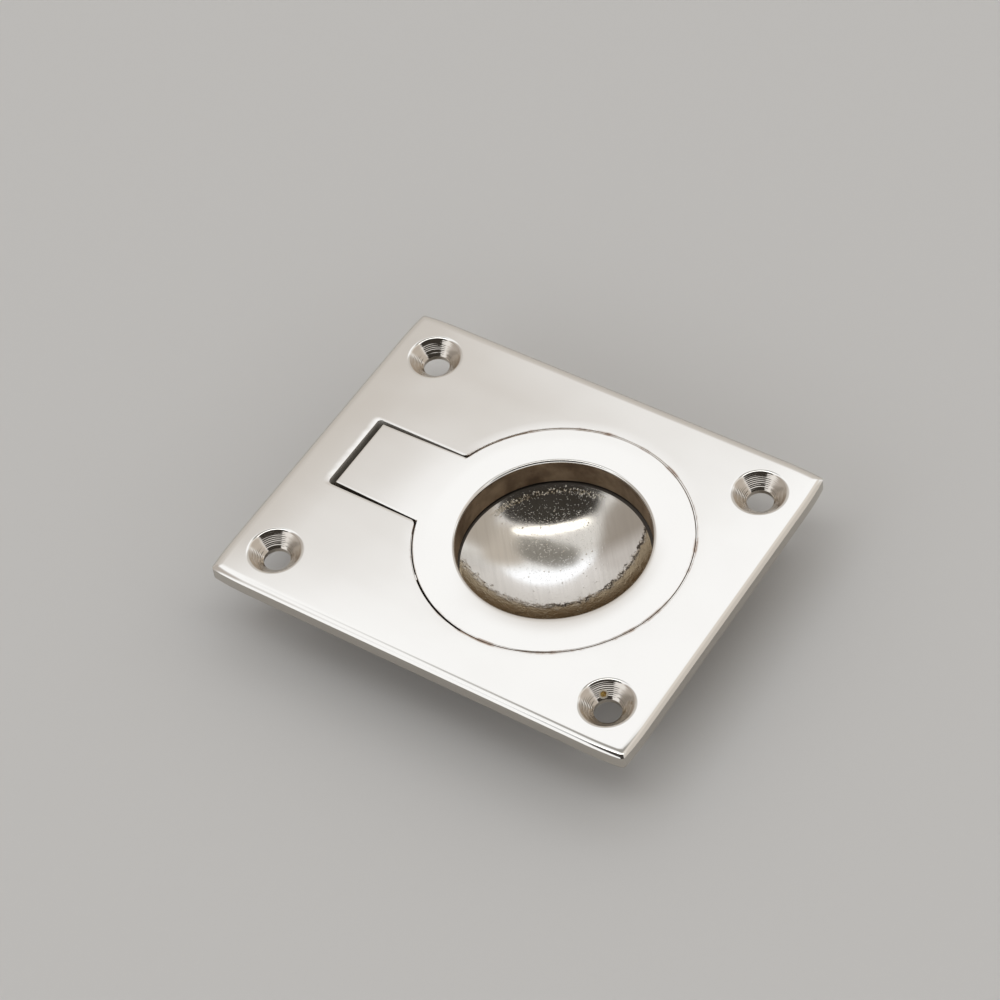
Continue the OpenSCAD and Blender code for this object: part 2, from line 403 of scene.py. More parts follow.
# dried polish sits on the pocket's wall just below its edge, and nearly closes the gap to the ring
def makeCrust():
    centreX = layout["ringX"]
    middle = (crust["lowZ"] + crust["highZ"]) / 2
    centre = (centreX, 0, middle)
    deep = crust["cutDepth"]
    strip = addCylinder(crust["outRadius"], crust["highZ"] - crust["lowZ"], centre, pocket["turns"])
    cutWith(strip, addCylinder(crust["inRadius"], deep, centre, pocket["turns"]))
    thinner = addCylinder(crust["thinRadius"], deep, centre, pocket["turns"])
    pick(thinner, "FACE", lambda at, normal: True)
    bpy.ops.mesh.bisect(plane_co=(crust["thinX"], 0, 0), plane_no=(1, 0, 0), clear_outer=True, use_fill=True)
    deselectAll()
    cutWith(strip, thinner)
    # it leaves the tab's neck free, and one stretch at the near side
    length = crust["neckLength"]
    cutWith(strip, addBox((crust["neckX"] - length / 2, 0, middle), (length, 2 * crust["neckHalf"], deep)))
    angle = crust["openAngle"]
    gapX = centreX + pocket["radius"] * math.cos(angle)
    gapY = pocket["radius"] * math.sin(angle)
    cutWith(strip, addBox((gapX, gapY, middle), (crust["openDepth"], crust["openWidth"], deep), angle))
    return strip


def makeSinkCutter(x, y):
    # tool marks stand out round the cone like the threads of a fine screw
    shank = screwHole["shankRadius"]
    rim = screwHole["sinkRadius"]
    top = layout["frontZ"]
    bpy.ops.mesh.primitive_circle_add(
        vertices=screwHole["turns"],
        radius=shank,
        fill_type="NGON",
        location=(x, y, -1 * mm),
    )
    cutter = bpy.context.active_object
    applyPlace(cutter)
    pick(cutter, "FACE", lambda at, normal: True)
    radius = shank
    height = -1 * mm
    marks = screwHole["toolMarks"]
    rise = (screwHole["marksEnd"] - shank) / marks
    profile = [(shank, top - (rim - shank))]
    for step in range(1, marks * screwHole["markSteps"]):
        turn = step / screwHole["markSteps"]
        reach = shank + turn * rise
        uneven = 0.7 + 0.3 * math.sin(2.4 * math.floor(turn))
        groove = screwHole["markDepth"] * uneven * (0.5 - 0.5 * math.cos(2 * math.pi * turn))
        profile.append((reach, top - (rim - reach) - groove))
    profile.append((rim + 1 * mm, top + 1 * mm))
    for nextRadius, nextHeight in profile:
        bpy.ops.mesh.extrude_region_move(TRANSFORM_OT_translate={"value": (0, 0, nextHeight - height)})
        ratio = nextRadius / radius
        bpy.ops.transform.resize(value=(ratio, ratio, 1), center_override=(x, y, nextHeight))
        radius = nextRadius
        height = nextHeight
    bpy.ops.mesh.select_all(action="SELECT")
    bpy.ops.mesh.normals_make_consistent(inside=False)
    deselectAll()
    return cutter


pinSeat = {
    "radius": 0.76 * mm,
    "spare": 0.15 * mm,
    "channelRadius": 0.85 * mm,
    "channelLength": 20 * mm,
    "turns": 48,
    "alongY": (math.pi / 2, 0, 0),
}


def makePinCutter():
    length = 2 * (casting["boxHalfWidth"] + casting["rootFillet"] + pinSeat["spare"])
    place = (layout["pinX"], 0, layout["pinZ"])
    seat = addCylinder(pinSeat["radius"], length, place, pinSeat["turns"], pinSeat["alongY"])
    start = casting["boxHalfWidth"] + casting["rootFillet"] / 2
    length = pinSeat["channelLength"]
    place = (layout["pinX"], start + length / 2, layout["pinZ"])
    channel = addCylinder(pinSeat["channelRadius"], length, place, pinSeat["turns"], pinSeat["alongY"])
    cutWith(seat, channel, "UNION")
    return seat


def makePlateCasting():
    body = makePlateBlank()
    back = makeDrum()
    cutWith(back, makeHingeBox(), "UNION")
    cutWith(back, makeDome(), "UNION")
    cutWith(body, back, "UNION")
    print("  cast blank:", len(body.data.polygons), "faces")

    # cast fillets where the drum and hinge box leave the plate
    def onRoot(corner):
        inside = abs(corner.x) < plate["length"] / 2 - 1 * mm and abs(corner.y) < plate["width"] / 2 - 1 * mm
        return near(corner.z, 0) and inside

    pick(body, "EDGE", both(onRoot))
    bpy.ops.mesh.bevel(offset=casting["rootFillet"], segments=4, affect="EDGES")
    deselectAll()
    cutWith(body, makePocketCutter())
    cutWith(body, makeWellCutter())
    cutWith(body, makeCrust(), "UNION")
    cutWith(body, makeBall(casting["bowlRadius"], casting["bowlRings"]))
    # the bowl's sharp rim is broken by a flat cone, halfway between the bowl's slope and the floor
    rimRadius = pocket["bowlRim"] + pocket["bowlEdge"]
    below = pocket["coneBelow"]
    above = pocket["coneAbove"]
    shiftX, shiftY = pocket["rimShift"]
    bpy.ops.mesh.primitive_cone_add(
        vertices=casting["turns"],
        radius1=rimRadius - below / math.tan(pocket["edgeSlope"]),
        radius2=rimRadius + above / math.tan(pocket["edgeSlope"]),
        depth=below + above,
        location=(layout["ringX"] + shiftX, shiftY, layout["pocketFloorZ"] + (above - below) / 2),
    )
    rimCone = bpy.context.active_object
    applyPlace(rimCone)
    cutWith(body, rimCone)
    sinks = [makeSinkCutter(x, y)
             for x in (-layout["holeX"], layout["holeX"])
             for y in (-layout["holeY"], layout["holeY"])]
    makeActive(sinks[0])
    for sink in sinks:
        sink.select_set(True)
    bpy.ops.object.join()
    cutWith(body, sinks[0])
    cutWith(body, makePinCutter())
    print("  hollowed casting:", len(body.data.polygons), "faces")

    # every edge that meets the front face is broken by the polishing wheel
    def onFront(corner):
        return near(corner.z, layout["frontZ"], 0.002 * mm)

    def onSinkRim(corner):
        return onFront(corner) and near(holeDistance(corner), screwHole["sinkRadius"], 0.03 * mm)

    def onPocketRim(corner):
        onRound = near(ringDistance(corner), pocket["radius"], 0.02 * mm)
        onSide = near(abs(corner.y), pocket["halfSlot"], 0.75 * mm) and corner.x < -10 * mm
        inSlot = abs(corner.y) < pocket["halfSlot"] + 0.1 * mm
        onEnd = near(corner.x, pocket["slotEndX"], 0.75 * mm) and inSlot
        return onFront(corner) and (onRound or onSide or onEnd)

    pick(body, "EDGE", both(onSinkRim))
    bpy.ops.mesh.bevel(offset=screwHole["rimRound"], segments=4, affect="EDGES")
    pick(body, "EDGE", both(onPocketRim))
    bpy.ops.mesh.bevel(offset=pocket["topRound"], segments=3, affect="EDGES")
    deselectAll()
    return body


plateCasting = makePlateCasting()

print("stage 5: the ring")
ring = {
    "radius": 18.4 * mm,
    "holeRadius": 12.9 * mm,
    "lowZ": -2.0 * mm,
    "draft": math.radians(6.5),
    "rollStart": 17.2 * mm,
    "rollDrop": 0.11 * mm,
    "rollSteps": 10,
    "roundSteps": 8,
    "lowSteps": 6,
    "supportOffset": 0.05 * mm,    # keeps the shading of the broken edge off the flat face
    "mergeReach": 0.001 * mm,
    "holeRound": 0.45 * mm,
    "lowRound": 0.5 * mm,
    "tabEndX": -25.1 * mm,
    "tabEndHalf": 5.65 * mm,
    "tabStartX": -11 * mm,
    "tabFaces": 17,
    "heelLowZ": -2.6 * mm,
    "heelFrontX": -20.2 * mm,
    "heelRamp": 0.6 * mm,
    "heelRound": 1.4 * mm,
    "tabEndRound": 0.3 * mm,
    "edgeRound": 0.1 * mm,
    "boreRadius": 0.81 * mm,
    "boreLength": 16 * mm,
    "turns": 320,
}


# points of the ring's section, from its outside edge over the top, through the hole and underneath
def ringSection():
    top = layout["frontZ"]
    edgeTop = top - ring["rollDrop"]
    section = [(ring["radius"], top), (ring["radius"] - ring["edgeRound"] - ring["supportOffset"], top)]
    rollWidth = ring["rollStart"] - ring["holeRadius"] - ring["holeRound"]
    for step in range(ring["rollSteps"] + 1):
        share = step / ring["rollSteps"]
        section.append((ring["rollStart"] - share * rollWidth, top - ring["rollDrop"] * share * share))
    for step in range(1, ring["roundSteps"] + 1):
        angle = math.radians(90) * step / ring["roundSteps"]
        section.append((ring["holeRadius"] + ring["holeRound"] * (1 - math.sin(angle)),
                        edgeTop - ring["holeRound"] * (1 - math.cos(angle))))
    for step in range(ring["lowSteps"] + 1):
        angle = math.radians(90) * step / ring["lowSteps"]
        section.append((ring["holeRadius"] + ring["lowRound"] * (1 - math.cos(angle)),
                        ring["lowZ"] + ring["lowRound"] * (1 - math.sin(angle))))
    section.append((ring["radius"] - (top - ring["lowZ"]) * math.tan(ring["draft"]), ring["lowZ"]))
    return section


def makeRingCasting():
    centreX = layout["ringX"]
    turns = ring["turns"]
    section = ringSection()
    # one corner is drawn round the section, edge by edge, and the section is spun round the hole
    radius, height = section[0]
    bpy.ops.mesh.primitive_plane_add(size=1 * mm, location=(centreX + radius, 0, height))
    body = bpy.context.active_object
    body.name = "ringCasting"
    applyPlace(body)
    pick(body, "VERT", lambda corner: True)
    bpy.ops.mesh.merge(type="CENTER")
    for nextRadius, nextHeight in section[1:] + section[:1]:
        step = (nextRadius - radius, 0, nextHeight - height)
        bpy.ops.mesh.extrude_region_move(TRANSFORM_OT_translate={"value": step})
        radius = nextRadius
        height = nextHeight
    bpy.ops.mesh.select_all(action="SELECT")
    bpy.ops.mesh.remove_doubles(threshold=ring["mergeReach"])
    bpy.ops.mesh.spin(steps=turns, angle=2 * math.pi, center=(centreX, 0, 0), axis=(0, 0, 1))
    bpy.ops.mesh.select_all(action="SELECT")
    bpy.ops.mesh.remove_doubles(threshold=ring["mergeReach"])
    bpy.ops.mesh.normals_make_consistent(inside=False)
    # the tab is drawn out of the ring's outside wall
    reach = math.radians(360 / turns) * (ring["tabFaces"] - 0.4)

    def onTabRoot(at, normal):
        angle = math.atan2(at.y, centreX - at.x)
        return abs(angle) < reach and ringDistance(at) > ring["rollStart"] and abs(normal.z) < 0.5

    pick(body, "FACE", onTabRoot)
    print("  tab root faces:", sum(face.select for face in body.data.polygons))
    bpy.ops.mesh.extrude_region_move(TRANSFORM_OT_translate={"value": (ring["tabEndX"] - centreX, 0, 0)})
    bpy.ops.transform.resize(value=(0, 1, 1), center_override=(ring["tabEndX"], 0, 0))
    rootHalf = ring["radius"] * math.sin(math.radians(360 / turns) * ring["tabFaces"])
    ratio = ring["tabEndHalf"] / rootHalf
    bpy.ops.transform.resize(value=(1, ratio, 1), center_override=(ring["tabEndX"], 0, 0))
    deselectAll()
    return body


def addHeel(body):
    # the tab's end is thicker below, where it takes the pin
    top = layout["frontZ"]
    low = ring["lowZ"]
    endX = ring["tabEndX"]
    frontX = ring["heelFrontX"]
    for x in (frontX, frontX + ring["heelRamp"]):
        pick(body, "FACE", lambda at, normal: True)
        bpy.ops.mesh.bisect(plane_co=(x, 0, 0), plane_no=(1, 0, 0))
    pick(body, "VERT", lambda corner: near(corner.z, low) and corner.x < frontX + 0.01 * mm)
    bpy.ops.transform.translate(value=(0, 0, ring["heelLowZ"] - low))
    pick(body, "EDGE", both(lambda corner: near(corner.x, endX) and near(corner.z, ring["heelLowZ"])))
    bpy.ops.mesh.bevel(offset=ring["heelRound"], segments=8, affect="EDGES")
    pick(body, "EDGE", both(lambda corner: near(corner.x, endX) and near(corner.z, top)))
    bpy.ops.mesh.bevel(offset=ring["tabEndRound"], segments=5, affect="EDGES")

    def onOutsideEdge(corner):
        onTab = corner.x < ring["tabStartX"] and abs(corner.y) > ring["tabEndHalf"] - 0.01 * mm
        return near(corner.z, top) and (near(ringDistance(corner), ring["radius"]) or onTab)

    pick(body, "EDGE", lambda first, second: both(onOutsideEdge)(first, second) and first.y * second.y >= 0)
    bpy.ops.mesh.bevel(offset=ring["edgeRound"], segments=3, affect="EDGES")
    deselectAll()
    place = (layout["pinX"], 0, layout["pinZ"])
    bore = addCylinder(ring["boreRadius"], ring["boreLength"], place, pinSeat["turns"], pinSeat["alongY"])
    cutWith(body, bore)
    return body


ringCasting = addHeel(makeRingCasting())

print("stage 6: the pin")
pin = {
    "radius": 0.75 * mm,
    "length": 16.2 * mm,
    "endRound": 0.12 * mm,
    "turns": 64,
}

place = (layout["pinX"], 0, layout["pinZ"])
pinRod = addCylinder(pin["radius"], pin["length"], place, pin["turns"], pinSeat["alongY"])
pinRod.name = "pinRod"
atEnds = both(lambda corner: near(abs(corner.y), pin["length"] / 2))
pick(pinRod, "EDGE", lambda first, second: atEnds(first, second) and first.y * second.y > 0)
bpy.ops.mesh.bevel(offset=pin["endRound"], segments=3, affect="EDGES")
deselectAll()

print("stage 7: finishes")


def fromHex(code):
    channels = [int(code[i:i + 2], 16) / 255 for i in (0, 2, 4)]
    linear = [c / 12.92 if c <= 0.04045 else ((c + 0.055) / 1.055) ** 2.4 for c in channels]
    return (*linear, 1)


def newMaterial(name):
    material = bpy.data.materials.new(name)
    material.use_nodes = True
    return material, material.node_tree.nodes["Principled BSDF"]


# adds one node, sets its values and joins its inputs to what feeds them
def addNode(tree, kind, settings=None, **inputs):
    node = tree.nodes.new(kind)
    for name, value in (settings or {}).items():
        setattr(node, name, value)
    for name, value in inputs.items():
        socket = node.inputs[int(name[1:])] if name[0] == "n" and name[1:].isdigit() else node.inputs[name]
        if isinstance(value, bpy.types.NodeSocket):
            tree.links.new(value, socket)
        else:
            socket.default_value = value
    return node


# Finishes. Scales are in cycles a metre: 1 / 0.001 is one cycle a millimetre.


def maths(tree, operation, first, second=0.0, third=0.0):
    return addNode(tree, "ShaderNodeMath", {"operation": operation}, n0=first, n1=second, n2=third).outputs[0]


def times(tree, first, second):
    return maths(tree, "MULTIPLY", first, second)


def plus(tree, first, second):
    return maths(tree, "ADD", first, second)


def minus(tree, first, second):
    return maths(tree, "SUBTRACT", first, second)


def larger(tree, first, second):
    return maths(tree, "MAXIMUM", first, second)


def sizeOf(tree, value):
    return maths(tree, "ABSOLUTE", value)


def hypotOf(tree, x, y):
    return maths(tree, "SQRT", plus(tree, times(tree, x, x), times(tree, y, y)))


def axesOf(tree, place):
    return addNode(tree, "ShaderNodeSeparateXYZ", Vector=place).outputs


def remap(tree, value, low, high, toLow=0.0, toHigh=1.0):
    settings = {"interpolation_type": "SMOOTHSTEP"}
    node = addNode(tree, "ShaderNodeMapRange", settings, n0=value, n1=low, n2=high, n3=toLow, n4=toHigh)
    return node.outputs[0]


def mixColour(tree, share, first, second):
    mix = addNode(tree, "ShaderNodeMix", {"data_type": "RGBA"})
    for socket, value in ((mix.inputs[0], share), (mix.inputs[6], first), (mix.inputs[7], second)):
        if isinstance(value, bpy.types.NodeSocket):
            tree.links.new(value, socket)
        else:
            socket.default_value = value
    return mix.outputs[2]


def grain(tree, place, perMetre, detail=2.0, rough=0.5, stretch=None, turn=0.0):
    if stretch:
        place = addNode(tree, "ShaderNodeMapping", {"vector_type": "TEXTURE"}, Vector=place,
                        Rotation=(0, 0, turn), Scale=stretch).outputs[0]
    node = addNode(tree, "ShaderNodeTexNoise", Vector=place, Scale=perMetre, Detail=detail, Roughness=rough)
    return node.outputs["Fac"]


# small round pits: the share of cells that hold one, and the pit's radius as a share of its cell
def pits(tree, place, perMetre, radius, share):
    cells = addNode(tree, "ShaderNodeTexVoronoi", Vector=place, Scale=perMetre)
    chance = addNode(tree, "ShaderNodeSeparateColor", Color=cells.outputs["Color"]).outputs[0]
    inside = remap(tree, cells.outputs["Distance"], radius * 0.35, radius, 1.0, 0.0)
    return times(tree, inside, maths(tree, "LESS_THAN", chance, share))


def dot(tree, place, direction):
    settings = {"operation": "DOT_PRODUCT"}
    return addNode(tree, "ShaderNodeVectorMath", settings, n0=place, n1=direction).outputs["Value"]


def bump(tree, height, distance, under=None):
    node = addNode(tree, "ShaderNodeBump", Height=height, Distance=distance)
    if under:
        tree.links.new(under, node.inputs["Normal"])
    return node.outputs["Normal"]


def feed(shader, name, source):
    shader.id_data.links.new(source, shader.inputs[name])


def startFinish(name, colour, roughness, metallic=1.0):
    material, shader = newMaterial(name)
    shader.inputs["Base Color"].default_value = fromHex(colour)
    shader.inputs["Metallic"].default_value = metallic
    shader.inputs["Roughness"].default_value = roughness
    tree = material.node_tree
    place = addNode(tree, "ShaderNodeTexCoord").outputs["Object"]
    return material, shader, tree, place


def fromRing(tree, place):
    parts = axesOf(tree, place)
    return hypotOf(tree, minus(tree, parts["X"], layout["ringX"]), parts["Y"])


nickelFinish = {
    "colour": "E1DCD4",
    "stainAndShade": "8E6F55",
    "roughness": (0.045, 0.11),
    "waveLength": 13 * mm,
    "waveHeight": 0.028 * mm,
    "streakLength": 5 * mm,
    "streakHeight": 0.011 * mm,
    "dishWidth": 1.6 * mm,
    "dishDrop": 0.013 * mm,
    "lipWidth": 1.1 * mm,
    "lipDrop": 0.04 * mm,
    "lipCell": 2.2 * mm,
    "lipWaver": 0.7 * mm,
    "lipFade": (5.4 * mm, 6.6 * mm),
    "gapRadius": 18.5 * mm,
    "tabFadeX": -10 * mm,
    "tabFadeY": (6 * mm, 10 * mm),
    "peelLength": 1.6 * mm,
    "peelHeight": 0.00035 * mm,
    "hairLength": 0.09 * mm,
    "hairHeight": 0.00008 * mm,
    "pitCell": 2.6 * mm,
    "crownWidth": 6 * mm,
    "crownDrop": 0.04 * mm,
    "farRise": 0.9,           # along the far edge, at its left, the surface was dished, not crowned
    "farRiseX": (-8 * mm, 24 * mm),
    "ringLean": 0.018,
    "leanTowards": (0.643, -0.766, 0),
}


# nickel plate on brass, polished by hand on a wheel: a warm white mirror with slow waves, a faint
# orange peel, hairlines along the wheel's path and a few pits from the casting
def polishedNickel(name, lean=0.0):
    finish = nickelFinish
    material, shader, tree, place = startFinish(name, finish["colour"], 0.07)
    haze = grain(tree, place, 1 / (9 * mm), 3)
    low, high = finish["roughness"]
    feed(shader, "Roughness", remap(tree, haze, 0.35, 0.75, low, high))
    waves = grain(tree, place, 1 / finish["waveLength"], 1, 0.4)
    normal = bump(tree, waves, finish["waveHeight"])
    passes = grain(tree, place, 1 / finish["streakLength"], 1, 0.4, stretch=(3, 1, 1), turn=math.radians(-14))
    normal = bump(tree, passes, finish["streakHeight"], normal)
    # the soft wheel dipped into the gap round the ring, and took the plate's side of it down a little
    parts = axesOf(tree, place)
    placeX = parts["X"]
    placeY = parts["Y"]
    offGap = sizeOf(tree, minus(tree, fromRing(tree, place), finish["gapRadius"]))
    dish = larger(tree, minus(tree, 1.0, maths(tree, "DIVIDE", offGap, finish["dishWidth"])), 0.0)
    offTab = larger(tree, remap(tree, sizeOf(tree, placeY), *finish["tabFadeY"]),
                    remap(tree, placeX, finish["tabFadeX"], 0))
    dish = times(tree, times(tree, dish, dish), offTab)
    if not lean:
        normal = bump(tree, dish, -finish["dishDrop"], normal)
        # so did the lip at the slot's end, unevenly
        waver = times(tree, grain(tree, place, 1 / finish["lipCell"], 1), finish["lipWaver"])
        offSlot = plus(tree, minus(tree, pocket["slotEndX"], placeX), waver)
        offSlot = larger(tree, offSlot, 0.0)
        lip = larger(tree, minus(tree, 1.0, maths(tree, "DIVIDE", offSlot, finish["lipWidth"])), 0.0)
        beside = remap(tree, sizeOf(tree, placeY), *finish["lipFade"], 1.0, 0.0)
        beside = times(tree, beside, maths(tree, "LESS_THAN", placeX, 0.0))
        lip = times(tree, times(tree, lip, lip), beside)
        normal = bump(tree, lip, -finish["lipDrop"], normal)
    # buffing lets the last few millimetres before the shoulder fall away by hundredths
    fall = 0.0
    for axis, half in (("X", plate["length"] / 2), ("Y", plate["width"] / 2)):
        inside = minus(tree, half - plate["shoulderWidth"], sizeOf(tree, parts[axis]))
        share = maths(tree, "DIVIDE", minus(tree, finish["crownWidth"], inside), finish["crownWidth"])
        share = larger(tree, share, 0.0)
        squared = times(tree, share, share)
        if axis == "Y":
            onFar = maths(tree, "GREATER_THAN", placeY, 0.0)
            rise = remap(tree, placeX, *finish["farRiseX"], 1 + finish["farRise"], 1.1)
            squared = times(tree, squared, minus(tree, 1.0, times(tree, onFar, rise)))
        fall = plus(tree, fall, squared)
    normal = bump(tree, fall, -finish["crownDrop"], normal)
    if lean:
        # the ring's face was ground a degree off the plate's, down towards its near right
        slope = dot(tree, place, finish["leanTowards"])
        leaning = bump(tree, times(tree, slope, -lean / mm), 1 * mm, normal)
        onRing = remap(tree, placeX, -21 * mm, ring["tabStartX"])
        blended = addNode(tree, "ShaderNodeMix", {"data_type": "VECTOR"}, n0=onRing, n4=normal, n5=leaning)
        blended = blended.outputs[1]
        normal = addNode(tree, "ShaderNodeVectorMath", {"operation": "NORMALIZE"}, n0=blended).outputs[0]
    peel = grain(tree, place, 1 / finish["peelLength"], 1)
    normal = bump(tree, peel, finish["peelHeight"], normal)
    hairs = grain(tree, place, 1 / finish["hairLength"], 2, 0.6, stretch=(60, 1, 1), turn=math.radians(20))
    normal = bump(tree, hairs, finish["hairHeight"], normal)
    # pits gather where the casting was porous
    porous = remap(tree, grain(tree, place, 1 / (14 * mm), 2), 0.56, 0.66)
    spots = times(tree, pits(tree, place, 1 / finish["pitCell"], 0.045, 0.45), porous)
    normal = bump(tree, spots, -0.02 * mm, normal)
    feed(shader, "Normal", normal)
    # polish residue dried brown, with painted shade, in patches along the gap round the ring
    beside = remap(tree, offGap, 0.12 * mm, 0.42 * mm, 1.0, 0.0)
    patchy = remap(tree, grain(tree, place, 1 / (3.5 * mm), 4, 0.6), 0.48, 0.68)
    besideTab = larger(tree, maths(tree, "GREATER_THAN", sizeOf(tree, placeY), pocket["halfSlot"]),
                       maths(tree, "GREATER_THAN", placeX, 0.0))
    residueAndShade = times(tree, times(tree, beside, patchy), times(tree, besideTab, 0.75))
    # the brown beside the gap is residue and painted shade between ring and plate; the pits take the same
    # brown
    dirtAndPaintedLight = larger(tree, residueAndShade, times(tree, spots, 0.6))
    feed(shader, "Base Color", mixColour(tree, dirtAndPaintedLight, fromHex(finish["colour"]), fromHex(finish["stainAndShade"])))
    return material


bowlFinish = {
    "colour": "BFB8AD",
    # painted highlight colour for the near half of the bowl
    "paintedHighlightColour": "F2EFEA",
    "streakColour": "8F8980",
    # tarnish, and on the near side a painted reflection of the ring's brown bore
    "tarnishAndReflectedBore": "A38D60",
    "pitColour": "3A3026",
    "roughness": (0.09, 0.18),
    "dimpleCell": 0.6 * mm,
    "dimpleDepth": 0.02 * mm,
    "fineCell": 0.21 * mm,
    "fineDepth": 0.008 * mm,
    "streakWidth": 0.4 * mm,
    "streakDepth": 0.0006 * mm,
    "glintCell": 0.26 * mm,
    "glintDepth": 0.05 * mm,
    "rimStart": 11.6 * mm,
    "smoothRadius": 13.4 * mm,    # the wheel reached this far from a point off towards the far rim
    "smoothOffset": 9.6 * mm,
}


# the same plate over a bowl that was only roughly polished: greyer, with fine dimples left by the sand,
# pulled streaks, and a ragged near side and golden far rim that the wheel couldn't reach. The near side's
# olive is tarnish and a painted reflection of the ring's brown bore, and the near half carries a painted
# highlight
def roughPolishedBowl():
    finish = bowlFinish
    material, shader, tree, place = startFinish("roughPolishedBowl", finish["colour"], 0.12)
    centred = addNode(tree, "ShaderNodeMapping", Vector=place, Location=(-layout["ringX"], 0, 0)).outputs[0]
    # turned so that its first axis runs across the streaks, and its second towards the far rim
    turned = addNode(tree, "ShaderNodeMapping", Vector=centred, Rotation=(0, 0, math.radians(-40))).outputs[0]
    parts = axesOf(tree, turned)
    across = parts["X"]
    low, high = finish["roughness"]
    cloud = grain(tree, place, 1 / (4 * mm), 4, 0.6)
    ragged = grain(tree, place, 1 / (0.9 * mm), 4, 0.7)
    wander = times(tree, minus(tree, ragged, 0.5), 2.5 * mm)
    rimEdge = plus(tree, fromRing(tree, place), times(tree, wander, 0.2))
    farRim = remap(tree, parts["Y"], 9 * mm, 11 * mm)
    farRim = times(tree, farRim, remap(tree, ragged, 0.4, 0.6, 0.3, 1.0))
    rim = times(tree, remap(tree, rimEdge, finish["rimStart"], finish["rimStart"] + 0.2 * mm),
                remap(tree, rimEdge, finish["rimStart"] + 0.6 * mm, finish["rimStart"] + 0.85 * mm, 1.0, 0.0))
    rim = times(tree, rim, farRim)
    worn = remap(tree, cloud, 0.3, 0.7, low, high)
    feed(shader, "Roughness", worn)
    farAway = minus(tree, parts["Y"], finish["smoothOffset"])
    away = hypotOf(tree, across, farAway)
    reach = finish["smoothRadius"]
    nearSide = remap(tree, plus(tree, away, wander), reach, reach + 1.5 * mm)
    # the dimples fill a broad band down the middle, the rim and the near side
    band = remap(tree, plus(tree, sizeOf(tree, across), times(tree, cloud, 3 * mm)),
                 6 * mm, 9 * mm, 1.0, 0.12)
    rough = larger(tree, larger(tree, band, nearSide), rim)
    coarse = times(tree, pits(tree, place, 1 / finish["dimpleCell"], 0.22, 0.25), rough)
    fine = times(tree, pits(tree, place, 1 / finish["fineCell"], 0.34, 0.42), rough)
    streaks = grain(tree, turned, 1 / finish["streakWidth"], 3, 0.55, stretch=(1, 22, 22))
    slow = grain(tree, place, 1 / (5 * mm), 1)
    normal = bump(tree, slow, 0.03 * mm)
    normal = bump(tree, streaks, finish["streakDepth"], normal)
    normal = bump(tree, times(tree, ragged, larger(tree, nearSide, rim)), 0.028 * mm, normal)
    normal = bump(tree, coarse, -finish["dimpleDepth"], normal)
    normal = bump(tree, fine, -finish["fineDepth"], normal)
    # grains along the far rim catch the tent's light from every side
    glints = times(tree, pits(tree, place, 1 / finish["glintCell"], 0.5, 0.7), rim)
    normal = bump(tree, glints, finish["glintDepth"], normal)
    feed(shader, "Normal", normal)
    # a painted highlight lightens the near half; at its limit, tarnish mixed with a painted reflection of the
    # brown bore, and burnt-in pits
    paintedHighlight = remap(tree, parts["Y"], 1.0 * mm, 4.2 * mm, 1.0, 0.0)
    colour = mixColour(tree, paintedHighlight, fromHex(finish["colour"]), fromHex(finish["paintedHighlightColour"]))
    dragged = times(tree, remap(tree, streaks, 0.42, 0.66), 0.07)
    colour = mixColour(tree, dragged, colour, fromHex(finish["streakColour"]))
    dirtAndPaintedLight = larger(tree, times(tree, rim, 0.45), times(tree, coarse, 0.3))
    # on the near side the tarnish colour is also a painted reflection of the ring's brown bore
    dirtAndPaintedLight = larger(tree, dirtAndPaintedLight, times(tree, nearSide, 0.75))
    colour = mixColour(tree, dirtAndPaintedLight, colour, fromHex(finish["tarnishAndReflectedBore"]))
    limit = times(tree, remap(tree, nearSide, 0.02, 0.2), remap(tree, nearSide, 0.6, 0.95, 1.0, 0.0))
    jagged = times(tree, remap(tree, grain(tree, place, 1 / (0.5 * mm), 3, 0.6), 0.46, 0.54),
                   remap(tree, across, -6 * mm, 1 * mm, 0.25, 1.0))
    jagged = larger(tree, jagged, pits(tree, place, 1 / (0.34 * mm), 0.5, 0.6))
    burnt = times(tree, times(tree, jagged, limit), 0.9)
    feed(shader, "Base Color", mixColour(tree, burnt, colour, fromHex(finish["pitColour"])))
    return material


boreFinish = {
    "light": "B39C80",
    "dark": "79644F",
    "roughness": 0.42,
    "metallic": 0.6,          # the tarnish over the plate scatters light as a thin paint would
}


# the ring's hole was cast and plated but never buffed, so it is satin and tarnished brown
def tarnishedBore():
    finish = boreFinish
    material, shader, tree, place = startFinish(
        "tarnishedBore", finish["light"], finish["roughness"], finish["metallic"])
    cloud = grain(tree, place, 1 / (6 * mm), 4, 0.6)
    shade = remap(tree, cloud, 0.35, 0.65)
    feed(shader, "Base Color", mixColour(tree, shade, fromHex(finish["dark"]), fromHex(finish["light"])))
    rough = grain(tree, place, 1 / (0.35 * mm), 3)
    normal = bump(tree, rough, 0.006 * mm)
    normal = bump(tree, pits(tree, place, 1 / (1.9 * mm), 0.14, 0.25), -0.05 * mm, normal)
    feed(shader, "Normal", normal)
    return material


residueFinish = {
    "colour": "CDB9A6",
    "brown": "8E7460",
    "roughness": 0.85,
    "lowZ": 1.4 * mm,
    "highZ": 1.7 * mm,
    "cleanSide": 246,         # degrees round the ring: here the gap is open and holds none
}


